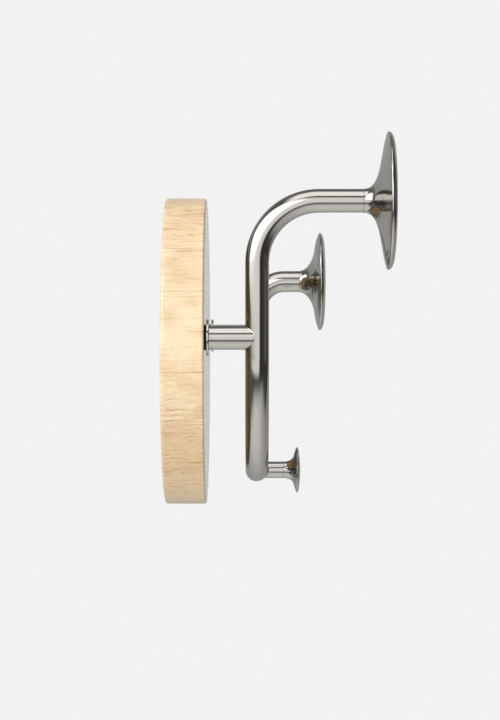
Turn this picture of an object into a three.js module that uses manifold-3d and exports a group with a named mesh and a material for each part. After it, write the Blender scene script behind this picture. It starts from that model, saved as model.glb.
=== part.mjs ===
// Wall-mounted valet hook: a round solid wood base, and one bent tube that carries three trumpet knobs.
// Millimetres. The wall is the plane Y = 0, the room lies towards -Y, and +Z is up.
// The origin is the centre of the base's back face. Left is the -X side, as someone facing the hook sees it.
// A depth is a distance from the wall, so a point at depth d has Y = -d.
import * as THREE from "three";
import { mergeVertices } from "three/addons/utils/BufferGeometryUtils.js";
import Module from "manifold-3d";

const wasm = await Module();
wasm.setup();

// Clearances shared by all pieces
const seatGap = 0.3;
const overrun = 2;

// Wooden base
const baseDiameter = 216;
const baseThickness = 28.7;
const baseBackRound = 2;
const baseFrontRound = 1.5;

// Hook frame: one bent tube
const tubeDiameter = 15.9;
const tubeWall = 1.5;
const legInset = 23.6;
const legStandoff = 35.3;
const largeArmHeight = 101.5;
const largeBendRadius = 41.3;
const largeArmReach = 70.6;
const mediumArmHeight = 50.8;
const mediumBendRadius = 21;
const mediumArmReach = 31.8;

// Standoff posts
const postDiameter = 16.3;
const postHeight = 10.2;
const postEndSetback = 2.6;
const postBoreDepth = 17.5;
const flangeDiameter = 24.2;
const flangeThickness = 1.5;
const flangeChamfer = 0.3;
const spacerDiameter = 16.7;
const spacerThickness = 1.55;

// Post bolts and their washers
const boltDiameter = 6;
const boltLength = 40;
const boltHeadDiameter = 10;
const boltHeadHeight = 6;
const boltSocketWidth = 5;
const boltSocketDepth = 3;
const boltTipChamfer = 0.8;
const boltWasherDiameter = 12;
const boltWasherThickness = 1.6;
const boltSeatDepth = 9;

// Large knob, with shares of its flare's length and height that place the curve's two handles
const largeKnobDiameter = 92.3;
const largeKnobLength = 19.95;
const largeRimThickness = 3.8;
const largeFaceDome = 0.3;
const largeFlareShares = [0.78, 0.745, 0.633];

// Medium knob
const mediumKnobDiameter = 73.3;
const mediumKnobLength = 19.5;
const mediumRimThickness = 3.2;
const mediumFaceDome = 1.9;
const mediumFlareShares = [0.8, 0.82, 0.85];

// Knob fixings in the tube ends: a pressed-in plug and a threaded stud
const plugLength = 12;
const studDiameter = 6;
const studLength = 20;
const studEngagement = 9;
const studChamfer = 0.6;

// Small hook: rod, stud and knob at the bottom of the frame
const rodDiameter = 11.8;
const rodReach = 18.6;
const smallKnobDiameter = 32.2;
const smallKnobLength = 12;
const smallRimThickness = 2.2;
const smallFaceDome = 1;
const smallFlareShares = [0.92, 0.78, 0.62];
const smallStudDiameter = 4;
const smallStudLength = 14;
const smallStudEngagement = 7;

// Keyhole plates let into the back
const plateWidth = 18;
const plateHeight = 46;
const plateThickness = 1.8;
const plateCornerRadius = 4;
const plateInset = 58;
const plateRise = 45;
const keyholeEntryDiameter = 10;
const keyholeSlotWidth = 5;
const keyholeSlotRise = 14;
const pocketWidth = 12;
const pocketDepth = 6.5;
const pocketMargin = 1;
const pocketCornerRadius = 5;

// Plate screws
const screwSpacing = 35;
const screwHeadDiameter = 5.8;
const screwHeadHeight = 1.6;
const screwDiameter = 2.8;
const screwLength = 12;
const screwTipLength = 2.5;

// Fineness of the round shapes, as numbers of sides or steps
const baseSides = 72;
const tubeSides = 24;
const tubeBoreSides = 12;
const largeBendSteps = 10;
const lowerBendSteps = 32;
const mediumBendSteps = 8;
const largeKnobSides = 44;
const mediumKnobSides = 36;
const smallKnobSides = 24;
const postSides = 28;
const rodSides = 20;
const discSides = 28;
const boltSides = 16;
const screwSides = 12;
const hexagonSides = 6;
const flareSteps = 10;
const rimSteps = 4;
const roundSteps = 3;
const cornerSteps = 6;
const domeSteps = 2;
const vertexMergeDistance = 1e-4;

// Lengths and depths that follow from the sizes above
const baseRadius = baseDiameter / 2;
const tubeRadius = tubeDiameter / 2;
const legX = baseRadius - legInset;
const plateX = baseRadius - plateInset;
const legDepth = baseThickness + legStandoff;
const spacerDepth = baseThickness;
const flangeDepth = spacerDepth + spacerThickness;
const postDepth = flangeDepth + flangeThickness;
const boltHoleRadius = boltDiameter / 2 + seatGap;
const screwHoleRadius = screwDiameter / 2 + seatGap;

// Heights above a keyhole's entry: the plate's middle, which centres the keyhole on the plate, and its two screws
const plateMiddle = (keyholeSlotRise + keyholeSlotWidth / 2 - keyholeEntryDiameter / 2) / 2;
const screwHeights = [plateMiddle - screwSpacing / 2, plateMiddle + screwSpacing / 2];

// Finishes, each the settings of one material
const finishes = {
  paleWood: { color: 0xecd4ae, roughness: 0.62, metalness: 0 },
  satinNickel: { color: 0xb9b6b1, roughness: 0.27, metalness: 1 },
  blackRubber: { color: 0x1d1d1d, roughness: 0.85, metalness: 0 },
  zincSteel: { color: 0xaeb1b3, roughness: 0.42, metalness: 1 },
};

// A solid for joining and cutting, from a closed geometry.
function solidOf(geometry) {
  const bare = geometry.clone();
  bare.deleteAttribute("normal");
  bare.deleteAttribute("uv");
  const merged = mergeVertices(bare, vertexMergeDistance);
  return new wasm.Manifold(
    new wasm.Mesh({
      numProp: 3,
      vertProperties: merged.getAttribute("position").array,
      triVerts: new Uint32Array(merged.index.array),
    }),
  );
}

// A geometry from the solid that joining and cutting left.
function geometryOf(solid) {
  const { vertProperties, triVerts } = solid.getMesh();
  const geometry = new THREE.BufferGeometry();
  geometry.setAttribute("position", new THREE.BufferAttribute(vertProperties, 3));
  geometry.setIndex(new THREE.BufferAttribute(triVerts, 1));
  geometry.computeVertexNormals();
  return geometry;
}

// The geometry with every cutter taken out of it.
function cut(geometry, cutters) {
  const left = cutters.reduce((solid, cutter) => solid.subtract(solidOf(cutter)), solidOf(geometry));
  return geometryOf(left);
}

// A body of revolution about the Y axis. The profile lists [radius, depth] from the wall side round to the room side.
function turned(profile, sides) {
  const points = profile.map(([radius, depth]) => new THREE.Vector2(radius, -depth));
  return new THREE.LatheGeometry(points.reverse(), sides);
}

// A round bar between two depths.
function bar(radius, from, to, sides) {
  return turned([[0, from], [radius, from], [radius, to], [0, to]], sides);
}

// A flat ring between two depths.
function ring(innerRadius, outerRadius, from, to, sides) {
  const profile = [
    [innerRadius, from],
    [outerRadius, from],
    [outerRadius, to],
    [innerRadius, to],
    [innerRadius, from],
  ];
  return turned(profile, sides);
}

// A flat plate of the given outline, standing upright, whose wall-side face lies at the given depth.
function upright(outline, depth, thickness) {
  const options = { depth: thickness, bevelEnabled: false, curveSegments: cornerSteps };
  const plate = new THREE.ExtrudeGeometry(outline, options);
  return plate.rotateX(Math.PI / 2).translate(0, -depth, 0);
}

// Points [radius, depth] of a circular arc in a profile. Angle 0 points outwards and a right angle into the room.
function profileArc(radius, depth, round, fromAngle, toAngle, steps) {
  return Array.from({ length: steps + 1 }, (_, step) => {
    const angle = THREE.MathUtils.lerp(fromAngle, toAngle, step / steps);
    return [radius + round * Math.cos(angle), depth + round * Math.sin(angle)];
  });
}

// Corner points of a regular polygon that stands in for a circle.
function circlePoints(radius, sides) {
  return Array.from({ length: sides }, (_, side) => {
    const angle = (side / sides) * 2 * Math.PI;
    return new THREE.Vector2(radius * Math.cos(angle), radius * Math.sin(angle));
  });
}

// A rounded rectangle between two heights, centred on X = 0.
function roundedRectangle(width, bottom, top, corner) {
  const side = width / 2 - corner;
  const shape = new THREE.Shape();
  shape.absarc(side, top - corner, corner, 0, Math.PI / 2, false);
  shape.absarc(-side, top - corner, corner, Math.PI / 2, Math.PI, false);
  shape.absarc(-side, bottom + corner, corner, Math.PI, 1.5 * Math.PI, false);
  shape.absarc(side, bottom + corner, corner, 1.5 * Math.PI, 2 * Math.PI, false);
  return shape;
}

// A path that steps from station to station, so that a straight run takes one step and a bend takes several.
class StationPath extends THREE.Curve {
  constructor(stations) {
    super();
    this.stations = stations;
  }

  stationAt(share) {
    return this.stations[Math.round(share * (this.stations.length - 1))];
  }

  getPoint(share, target = new THREE.Vector3()) {
    return target.copy(this.stationAt(share).point);
  }

  getPointAt(share, target = new THREE.Vector3()) {
    return this.getPoint(share, target);
  }

  getTangentAt(share, target = new THREE.Vector3()) {
    return target.copy(this.stationAt(share).tangent);
  }
}

// Stations round a bend, which starts on the outward side of its centre and moves off along the given direction.
function bendStations(centre, outward, along, radius, angle, steps) {
  return Array.from({ length: steps + 1 }, (_, step) => {
    const turn = (angle * step) / steps;
    const arm = outward.clone().multiplyScalar(Math.cos(turn)).addScaledVector(along, Math.sin(turn));
    const tangent = along.clone().multiplyScalar(Math.cos(turn)).addScaledVector(outward, -Math.sin(turn));
    return { point: centre.clone().addScaledVector(arm, radius), tangent };
  });
}

// Centre line of the hook frame, from the large hook's end over the tall leg, the lower bend and the short leg
// to the medium hook's end.
function framePath() {
  const toWall = new THREE.Vector3(0, 1, 0);
  const toRoom = new THREE.Vector3(0, -1, 0);
  const up = new THREE.Vector3(0, 0, 1);
  const down = new THREE.Vector3(0, 0, -1);
  const left = new THREE.Vector3(-1, 0, 0);
  const largeEnd = new THREE.Vector3(-legX, -(legDepth + largeArmReach), largeArmHeight);
  const largeCentre = new THREE.Vector3(
    -legX,
    -(legDepth + largeBendRadius),
    largeArmHeight - largeBendRadius,
  );
  const lowerCentre = new THREE.Vector3(0, -legDepth, 0);
  const mediumCentre = new THREE.Vector3(
    legX,
    -(legDepth + mediumBendRadius),
    mediumArmHeight - mediumBendRadius,
  );
  const mediumEnd = new THREE.Vector3(legX, -(legDepth + mediumArmReach), mediumArmHeight);
  return new StationPath([
    { point: largeEnd, tangent: toWall },
    ...bendStations(largeCentre, up, toWall, largeBendRadius, Math.PI / 2, largeBendSteps),
    ...bendStations(lowerCentre, left, down, legX, Math.PI, lowerBendSteps),
    ...bendStations(mediumCentre, toWall, up, mediumBendRadius, Math.PI / 2, mediumBendSteps),
    { point: mediumEnd, tangent: toRoom },
  ]);
}

// A section carried along the frame's centre line.
function sweptAlongFrame(section) {
  const path = framePath();
  const options = { steps: path.stations.length - 1, extrudePath: path, bevelEnabled: false };
  return new THREE.ExtrudeGeometry(section, options);
}

function frameGeometry() {
  const section = new THREE.Shape(circlePoints(tubeRadius, tubeSides));
  section.holes.push(new THREE.Path(circlePoints(tubeRadius - tubeWall, tubeBoreSides)));
  return sweptAlongFrame(section);
}

// What a neighbour gives up to fit against the frame: the tube, and a gap all round it.
function frameClearance() {
  return sweptAlongFrame(new THREE.Shape(circlePoints(tubeRadius + seatGap, tubeSides)));
}

// Keyhole outline with its entry at the origin and its slot rising above it.
function keyholeOutline() {
  const entry = keyholeEntryDiameter / 2;
  const half = keyholeSlotWidth / 2;
  const mouth = Math.asin(half / entry);
  const outline = new THREE.Path();
  outline.absarc(0, keyholeSlotRise, half, 0, Math.PI, false);
  outline.absarc(0, 0, entry, Math.PI / 2 + mouth, 2.5 * Math.PI - mouth, false);
  return outline;
}

function plateOutline(clearance) {
  return roundedRectangle(
    plateWidth + 2 * clearance,
    plateMiddle - plateHeight / 2 - clearance,
    plateMiddle + plateHeight / 2 + clearance,
    plateCornerRadius + clearance,
  );
}

function pocketOutline() {
  const bottom = -keyholeEntryDiameter / 2 - pocketMargin;
  const top = keyholeSlotRise + keyholeEntryDiameter / 2;
  return roundedRectangle(pocketWidth, bottom, top, pocketCornerRadius);
}

// The hollows that one keyhole plate needs in the wood, with the keyhole's entry at X = 0 and Z = 0.
function plateCutters() {
  const floor = seatGap + plateThickness;
  const recess = upright(plateOutline(seatGap), -overrun, floor + overrun);
  const pocket = upright(pocketOutline(), 0, floor + pocketDepth);
  const screwHoles = screwHeights.map((height) =>
    bar(screwHoleRadius, 0, seatGap + screwLength + seatGap, screwSides).translate(0, 0, height),
  );
  return [recess, pocket, ...screwHoles];
}

// The stepped hole that one post bolt needs in the wood, about X = 0 and Z = 0.
function boltCutter() {
  const profile = [
    [0, -overrun],
    [boltWasherDiameter / 2 + seatGap, -overrun],
    [boltWasherDiameter / 2 + seatGap, boltSeatDepth],
    [boltHoleRadius, boltSeatDepth],
    [boltHoleRadius, baseThickness + overrun],
    [0, baseThickness + overrun],
  ];
  return turned(profile, boltSides);
}

function baseGeometry() {
  const quarter = Math.PI / 2;
  const backRadius = baseRadius - baseBackRound;
  const frontRadius = baseRadius - baseFrontRound;
  const frontDepth = baseThickness - baseFrontRound;
  const profile = [
    [0, 0],
    ...profileArc(backRadius, baseBackRound, baseBackRound, -quarter, 0, roundSteps),
    ...profileArc(frontRadius, frontDepth, baseFrontRound, 0, quarter, roundSteps),
    [0, baseThickness],
  ];
  const cutters = [-1, 1].flatMap((side) => [
    boltCutter().translate(side * legX, 0, postHeight),
    ...plateCutters().map((cutter) => cutter.translate(side * plateX, 0, plateRise)),
  ]);
  return cut(turned(profile, baseSides), cutters);
}

function plateGeometry() {
  const outline = plateOutline(0);
  outline.holes.push(keyholeOutline());
  const plate = upright(outline, seatGap, plateThickness);
  const headRadius = screwHeadDiameter / 2 + seatGap;
  const profile = [
    [0, -overrun],
    [headRadius, -overrun],
    [headRadius, seatGap],
    [screwHoleRadius, seatGap + screwHeadHeight],
    [screwHoleRadius, seatGap + plateThickness + overrun],
    [0, seatGap + plateThickness + overrun],
  ];
  const holes = screwHeights.map((height) => turned(profile, screwSides).translate(0, 0, height));
  return cut(plate, holes);
}

function screwGeometry() {
  const radius = screwDiameter / 2;
  const profile = [
    [0, seatGap],
    [screwHeadDiameter / 2, seatGap],
    [radius, seatGap + screwHeadHeight],
    [radius, seatGap + screwLength - screwTipLength],
    [0, seatGap + screwLength],
  ];
  return turned(profile, screwSides);
}

function boltGeometry() {
  const headEnd = boltSeatDepth - boltWasherThickness;
  const headStart = headEnd - boltHeadHeight;
  const shankEnd = headEnd + boltLength;
  const radius = boltDiameter / 2;
  const profile = [
    [0, headStart],
    [boltHeadDiameter / 2, headStart],
    [boltHeadDiameter / 2, headEnd],
    [radius, headEnd],
    [radius, shankEnd - boltTipChamfer],
    [radius - boltTipChamfer, shankEnd],
    [0, shankEnd],
  ];
  const socketRadius = boltSocketWidth / 2 / Math.cos(Math.PI / hexagonSides);
  const socket = bar(socketRadius, headStart - overrun, headStart + boltSocketDepth, hexagonSides);
  return cut(turned(profile, boltSides), [socket]);
}

function boltWasherGeometry() {
  const from = boltSeatDepth - boltWasherThickness;
  return ring(boltHoleRadius, boltWasherDiameter / 2, from, boltSeatDepth, boltSides);
}

function spacerGeometry() {
  return ring(boltHoleRadius, spacerDiameter / 2, spacerDepth, flangeDepth, discSides);
}

function flangeGeometry() {
  const radius = flangeDiameter / 2;
  const profile = [
    [boltHoleRadius, flangeDepth],
    [radius, flangeDepth],
    [radius, postDepth - flangeChamfer],
    [radius - flangeChamfer, postDepth],
    [boltHoleRadius, postDepth],
    [boltHoleRadius, flangeDepth],
  ];
  return turned(profile, discSides);
}

// A post about X = 0 and Z = 0, with a threaded bore from the wall side and an end that wraps the leg at (side, height).
function postGeometry(side) {
  const profile = [
    [0, postDepth + postBoreDepth],
    [boltHoleRadius, postDepth + postBoreDepth],
    [boltHoleRadius, postDepth],
    [postDiameter / 2, postDepth],
    [postDiameter / 2, legDepth - postEndSetback],
    [0, legDepth - postEndSetback],
  ];
  const leg = frameClearance().translate(-side * legX, 0, -postHeight);
  return cut(turned(profile, postSides), [leg]);
}

// Points of a shallow domed face, from its edge to its middle. It falls off with the square of the radius.
function domeProfile(radius, depth, dome) {
  return Array.from({ length: domeSteps }, (_, step) => {
    const share = 1 - (step + 1) / domeSteps;
    return [radius * share, depth - dome * share * share];
  });
}

// A trumpet knob from depth 0: a neck, a flare that widens along a curve to the rim, a rounded rim and a shallow dome.
function knobGeometry({ neckRadius, diameter, length, rim, dome, flareShares, boreRadius, boreDepth, sides }) {
  const [neckShare, rimDepthShare, rimHeightShare] = flareShares;
  const rimRound = rim / 2;
  const rimRadius = diameter / 2 - rimRound;
  const rimDepth = length - dome - rimRound;
  const flareLength = rimDepth - rimRound;
  const rise = rimRadius - neckRadius;
  const flare = new THREE.CubicBezierCurve(
    new THREE.Vector2(neckRadius, 0),
    new THREE.Vector2(neckRadius, neckShare * flareLength),
    new THREE.Vector2(neckRadius + rimHeightShare * rise, rimDepthShare * flareLength),
    new THREE.Vector2(rimRadius, flareLength),
  );
  const profile = [
    [0, boreDepth],
    [boreRadius, boreDepth],
    [boreRadius, 0],
    ...flare.getPoints(flareSteps).map((point) => [point.x, point.y]),
    ...profileArc(rimRadius, rimDepth, rimRound, -Math.PI / 2, Math.PI / 2, rimSteps).slice(1),
    ...domeProfile(rimRadius, length, dome),
  ];
  return turned(profile, sides);
}

function studGeometry(diameter, length, sides) {
  const radius = diameter / 2;
  const profile = [
    [0, 0],
    [radius - studChamfer, 0],
    [radius, studChamfer],
    [radius, length - studChamfer],
    [radius - studChamfer, length],
    [0, length],
  ];
  return turned(profile, sides);
}

// The rod starts on the tube's centre line and loses what the tube takes up. Its far end is bored for the stud.
function rodGeometry() {
  const boreEnd = smallStudLength - smallStudEngagement + seatGap;
  const boreRadius = smallStudDiameter / 2 + seatGap;
  const profile = [
    [0, 0],
    [rodDiameter / 2, 0],
    [rodDiameter / 2, rodReach],
    [boreRadius, rodReach],
    [boreRadius, rodReach - boreEnd],
    [0, rodReach - boreEnd],
  ];
  return cut(turned(profile, rodSides), [frameClearance().translate(0, legDepth, legX)]);
}

// A named mesh at a depth, in a material of its own.
function piece(name, geometry, finish, depth = 0) {
  const mesh = new THREE.Mesh(geometry, new THREE.MeshStandardMaterial(finish));
  mesh.name = name;
  mesh.position.y = -depth;
  return mesh;
}

// A group of pieces about one axis that runs from the wall into the room.
function placed(pieces, x, depth, z) {
  const group = new THREE.Group();
  group.add(...pieces);
  group.position.set(x, -depth, z);
  return group;
}

// One keyhole plate with its two screws.
function keyholeHanger(sideName, side) {
  const screws = ["lower", "upper"].map((place, index) => {
    const screw = piece(`${sideName}_plate_screw_${place}`, screwGeometry(), finishes.zincSteel);
    screw.position.z = screwHeights[index];
    return screw;
  });
  const plate = piece(`${sideName}_keyhole_plate`, plateGeometry(), finishes.zincSteel);
  return placed([plate, ...screws], side * plateX, 0, plateRise);
}

// One standoff post with its flange and spacer, and the bolt and washer that hold it from the back.
function postSet(sideName, side) {
  return placed(
    [
      piece(`${sideName}_bolt`, boltGeometry(), finishes.zincSteel),
      piece(`${sideName}_bolt_washer`, boltWasherGeometry(), finishes.zincSteel),
      piece(`${sideName}_spacer`, spacerGeometry(), finishes.blackRubber),
      piece(`${sideName}_flange`, flangeGeometry(), finishes.satinNickel),
      piece(`${sideName}_post`, postGeometry(side), finishes.satinNickel),
    ],
    side * legX,
    0,
    postHeight,
  );
}

// Plug, stud and knob at an end of the tube. Depth 0 is the end of the tube.
function tubeEndKnob(sizeName, size) {
  const studRadius = studDiameter / 2;
  const plugRadius = (tubeRadius - tubeWall) * Math.cos(Math.PI / tubeBoreSides) - seatGap;
  const plug = ring(studRadius + seatGap, plugRadius, 0, plugLength, boltSides);
  const knob = knobGeometry({
    neckRadius: tubeRadius,
    boreRadius: studRadius + seatGap,
    boreDepth: studEngagement + seatGap,
    ...size,
  });
  return [
    piece(`${sizeName}_tube_plug`, plug, finishes.zincSteel, -plugLength),
    piece(
      `${sizeName}_knob_stud`,
      studGeometry(studDiameter, studLength, boltSides),
      finishes.zincSteel,
      seatGap + studEngagement - studLength,
    ),
    piece(`${sizeName}_knob`, knob, finishes.satinNickel, seatGap),
  ];
}

function largeHook() {
  const size = {
    diameter: largeKnobDiameter,
    length: largeKnobLength,
    rim: largeRimThickness,
    dome: largeFaceDome,
    flareShares: largeFlareShares,
    sides: largeKnobSides,
  };
  return placed(tubeEndKnob("large", size), -legX, legDepth + largeArmReach, largeArmHeight);
}

function mediumHook() {
  const size = {
    diameter: mediumKnobDiameter,
    length: mediumKnobLength,
    rim: mediumRimThickness,
    dome: mediumFaceDome,
    flareShares: mediumFlareShares,
    sides: mediumKnobSides,
  };
  return placed(tubeEndKnob("medium", size), legX, legDepth + mediumArmReach, mediumArmHeight);
}

function smallHook() {
  const knob = knobGeometry({
    neckRadius: rodDiameter / 2,
    diameter: smallKnobDiameter,
    length: smallKnobLength,
    rim: smallRimThickness,
    dome: smallFaceDome,
    flareShares: smallFlareShares,
    boreRadius: smallStudDiameter / 2 + seatGap,
    boreDepth: smallStudEngagement + seatGap,
    sides: smallKnobSides,
  });
  const stud = studGeometry(smallStudDiameter, smallStudLength, screwSides);
  return placed(
    [
      piece("small_hook_rod", rodGeometry(), finishes.satinNickel),
      piece(
        "small_knob_stud",
        stud,
        finishes.zincSteel,
        rodReach + seatGap + smallStudEngagement - smallStudLength,
      ),
      piece("small_knob", knob, finishes.satinNickel, rodReach + seatGap),
    ],
    0,
    legDepth,
    -legX,
  );
}

const valetHook = new THREE.Group();
valetHook.add(
  piece("wood_base", baseGeometry(), finishes.paleWood),
  keyholeHanger("left", -1),
  keyholeHanger("right", 1),
  postSet("left", -1),
  postSet("right", 1),
  piece("hook_frame", frameGeometry(), finishes.satinNickel),
  largeHook(),
  mediumHook(),
  smallHook(),
);

export default valetHook;
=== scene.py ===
"""Looks of a wall-mounted valet hook: a round wood base and a bent satin tube with three trumpet knobs.

The part's own frame holds: the wall is the plane Y = 0, the room lies towards -Y, +Z is up, and left is -X.
A depth is a distance from the wall, so a point at depth d has Y = -d. The classes hold their sizes in
millimetres, and MM turns them to Blender's metres where a mesh is made.
"""

import logging
import math
from dataclasses import dataclass
from enum import Enum

import bpy
import numpy as np
from bpy.types import ID, Material, NodeOutputs, NodeSocket, NodeTree, Object
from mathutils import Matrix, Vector


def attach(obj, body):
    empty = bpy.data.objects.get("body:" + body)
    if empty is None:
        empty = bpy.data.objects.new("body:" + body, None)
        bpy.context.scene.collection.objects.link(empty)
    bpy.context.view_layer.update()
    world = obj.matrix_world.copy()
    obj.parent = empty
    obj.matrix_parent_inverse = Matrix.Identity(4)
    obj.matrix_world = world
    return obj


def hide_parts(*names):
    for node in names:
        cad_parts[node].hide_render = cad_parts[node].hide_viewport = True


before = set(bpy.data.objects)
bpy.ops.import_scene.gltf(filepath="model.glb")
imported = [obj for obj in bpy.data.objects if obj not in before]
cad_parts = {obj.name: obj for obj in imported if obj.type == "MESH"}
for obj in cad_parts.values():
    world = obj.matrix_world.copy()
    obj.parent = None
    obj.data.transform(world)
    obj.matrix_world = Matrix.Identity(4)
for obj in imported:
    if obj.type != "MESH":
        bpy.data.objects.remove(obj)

LOG = logging.getLogger("valet_hook")
MM = 0.001
BODY = "root"
QUARTER = math.pi / 2
SMOOTH_LIMIT = math.radians(28)
SAME_PLACE = 1e-9
OVERRUN = 1.0
LEVELS = ("Value", "From Min", "From Max", "To Min", "To Max")


class Side(Enum):
    """The two legs of the hook, each with its side of the middle plane."""

    LEFT = -1
    RIGHT = 1

    @property
    def label(self) -> str:
        """The word that piece names start with."""
        return self.name.lower()


# Shapes


def arc(centre: tuple, round_radius: float, start: float, end: float, steps: int) -> np.ndarray:
    """Points centre + round_radius (cos a, sin a), with a evenly from start to end in that many steps."""
    angle = np.linspace(start, end, steps + 1)
    return np.array(centre) + round_radius * np.column_stack([np.cos(angle), np.sin(angle)])


def bezier(handles: np.ndarray, steps: int) -> np.ndarray:
    """Points of a Bezier curve of any degree.

    Each point is the sum of the handles, each times its Bernstein weight C(n, k) (1 - t)^(n - k) t^k.

    Args:
        handles: the control points, one a row.
        steps: number of pieces.

    Returns:
        An array of steps + 1 rows.
    """
    share = np.linspace(0, 1, steps + 1)[:, None]
    degree = len(handles) - 1
    order = np.arange(degree + 1)
    ways = np.array([math.comb(degree, k) for k in order])
    return (ways * (1 - share) ** (degree - order) * share**order) @ handles


def softened(corners: list, steps: int = 4) -> np.ndarray:
    """A profile whose corners are rounded.

    Each corner is (radius, depth, round). Its round is a quadratic Bezier from a point that far before the
    corner to one that far after it, with the corner as the middle handle. A round of 0 keeps the point sharp.

    Args:
        corners: the corners in order, in mm.
        steps: pieces in each round.

    Returns:
        The profile's points as (radius, depth) rows.
    """
    points = [np.array(corner[:2], float) for corner in corners]
    parts = []
    for place, corner in enumerate(corners):
        here = points[place]
        if corner[2] == 0:
            parts.append(here[None])
            continue
        before, after = points[place - 1] - here, points[place + 1] - here
        start = here + before / np.linalg.norm(before) * corner[2]
        end = here + after / np.linalg.norm(after) * corner[2]
        parts.append(bezier(np.array([start, here, end]), steps))
    return np.vstack(parts)


def collar(
    bore: float, radius: float, start: float, end: float, back: float, front: float, steps: int = 4
) -> np.ndarray:
    """A collar's profile from start to end, with its rim rounded by back and front, or a pin's for bore 0."""
    return softened([(bore, start, 0), (radius, start, back), (radius, end, front), (bore, end, 0)], steps)


def rounded_rectangle(width: float, bottom: float, top: float, corner: float, steps: int = 8) -> np.ndarray:
    """Outline of a rounded rectangle, centred on X = 0.

    Four quarter arcs, each about its own corner centre, joined in order.

    Args:
        width: full width in mm.
        bottom: lowest height in mm.
        top: highest height in mm.
        corner: corner radius in mm.
        steps: pieces in each quarter.

    Returns:
        The outline's points as (x, z) rows, anticlockwise.
    """
    side = width / 2 - corner
    centres = [(side, top - corner), (-side, top - corner), (-side, bottom + corner), (side, bottom + corner)]
    quarters = [arc(c, corner, i * QUARTER, (i + 1) * QUARTER, steps) for i, c in enumerate(centres)]
    return np.vstack(quarters)


def spokes(sides: int) -> np.ndarray:
    """Unit vectors (cos u, 0, sin u), with u evenly round the circle, one a row."""
    u = np.arange(sides) / sides * 2 * math.pi
    return np.column_stack([np.cos(u), np.zeros_like(u), np.sin(u)])


def weld_fillet(
    ball: np.ndarray, weld: float, first: np.ndarray, second: np.ndarray, steps: int = 8
) -> np.ndarray:
    """Rows of the fillet that a ball leaves as it rolls in a corner.

    A point is the ball's centre less its radius times a direction. The direction turns from the first to the
    second as (sin((1 - t) a) first + sin(t a) second) / sin a, where a is the angle between them.

    Args:
        ball: the ball's centres, one a row, in mm.
        weld: the ball's radius in mm.
        first: unit directions away from the first touching points.
        second: unit directions away from the second touching points.
        steps: number of pieces from one touching point to the other.

    Returns:
        steps + 1 rings of points.
    """
    angle = np.arccos(np.clip((first * second).sum(1), -1, 1))[:, None]
    share = np.linspace(0, 1, steps + 1)[:, None, None]
    way = np.sin((1 - share) * angle) * first + np.sin(share * angle) * second
    return ball - weld * way / np.sin(angle)


def linked(name: str, data: ID) -> Object:
    """Puts a new object into the scene.

    Args:
        name: the object's name.
        data: its mesh, light or camera.

    Returns:
        The object.
    """
    piece = bpy.data.objects.new(name, data)
    bpy.context.scene.collection.objects.link(piece)
    return piece


def smoothed(piece: Object) -> Object:
    """Shades a piece smooth and marks its sharp edges.

    Args:
        piece: the object.

    Returns:
        The same object.
    """
    mesh = piece.data
    mesh.polygons.foreach_set("use_smooth", np.ones(len(mesh.polygons), bool))
    mesh.set_sharp_from_angle(angle=SMOOTH_LIMIT)
    mesh.update()
    return piece


def surface(name: str, grid: np.ndarray, ring: bool = False) -> Object:
    """Makes an object from a grid of points in mm.

    Point (i, j) joins (i, j + 1) and (i + 1, j), and the columns wrap round. Rows whose points all coincide
    become one vertex with triangles round it. The faces are turned if the solid's signed volume, the sum of
    a . (b x c) over its triangles, is negative.

    Args:
        name: the piece's name.
        grid: rows x columns x 3 points.
        ring: whether the last row joins the first, as on a pipe with a bore.

    Returns:
        The new object, at the origin, smooth apart from its sharp edges.
    """
    rows, columns = grid.shape[:2]
    index = np.arange(rows * columns).reshape(rows, columns)
    pole = np.ptp(grid, axis=1).max(axis=1) < SAME_PLACE
    index[pole] = index[pole, :1]
    near = index if ring else index[:-1]
    far = np.roll(index, -1, axis=0) if ring else index[1:]
    quads = np.stack([near, np.roll(near, -1, 1), np.roll(far, -1, 1), far], axis=-1).reshape(-1, 4)
    shut_near, shut_far = quads[:, 0] == quads[:, 1], quads[:, 2] == quads[:, 3]
    fans = np.vstack([quads[shut_near & ~shut_far][:, [0, 2, 3]], quads[shut_far & ~shut_near][:, [0, 1, 2]]])
    quads = quads[~shut_near & ~shut_far]
    points = grid.reshape(-1, 3)
    halves = np.vstack([quads[:, [0, 1, 2]], quads[:, [0, 2, 3]], fans])
    a, b, c = (points[halves[:, k]] for k in range(3))
    if np.einsum("ij,ij->", a, np.cross(b, c)) < 0:
        quads, fans = quads[:, ::-1], fans[:, ::-1]
    used = np.unique(np.concatenate([quads.ravel(), fans.ravel()]))
    renumber = np.zeros(len(points), int)
    renumber[used] = np.arange(len(used))
    mesh = bpy.data.meshes.new(name)
    faces = renumber[quads].tolist() + renumber[fans].tolist()
    mesh.from_pydata((points[used] * MM).tolist(), [], faces)
    return smoothed(linked(name, mesh))


def turned_grid(profile: np.ndarray, x: float, z: float, sides: int) -> np.ndarray:
    """A ring (x + radius cos u, -depth, z + radius sin u) of that many points for each profile point."""
    middle = np.column_stack([np.full(len(profile), x), -profile[:, 1], np.full(len(profile), z)])
    return middle[:, None] + profile[:, :1, None] * spokes(sides)


def turned(name: str, profile: np.ndarray, x: float, z: float, sides: int) -> Object:
    """The body of revolution of turned_grid, with a bore if both ends of its profile are off the line."""
    return surface(name, turned_grid(profile, x, z, sides), ring=profile[0, 0] > 0 and profile[-1, 0] > 0)


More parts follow.
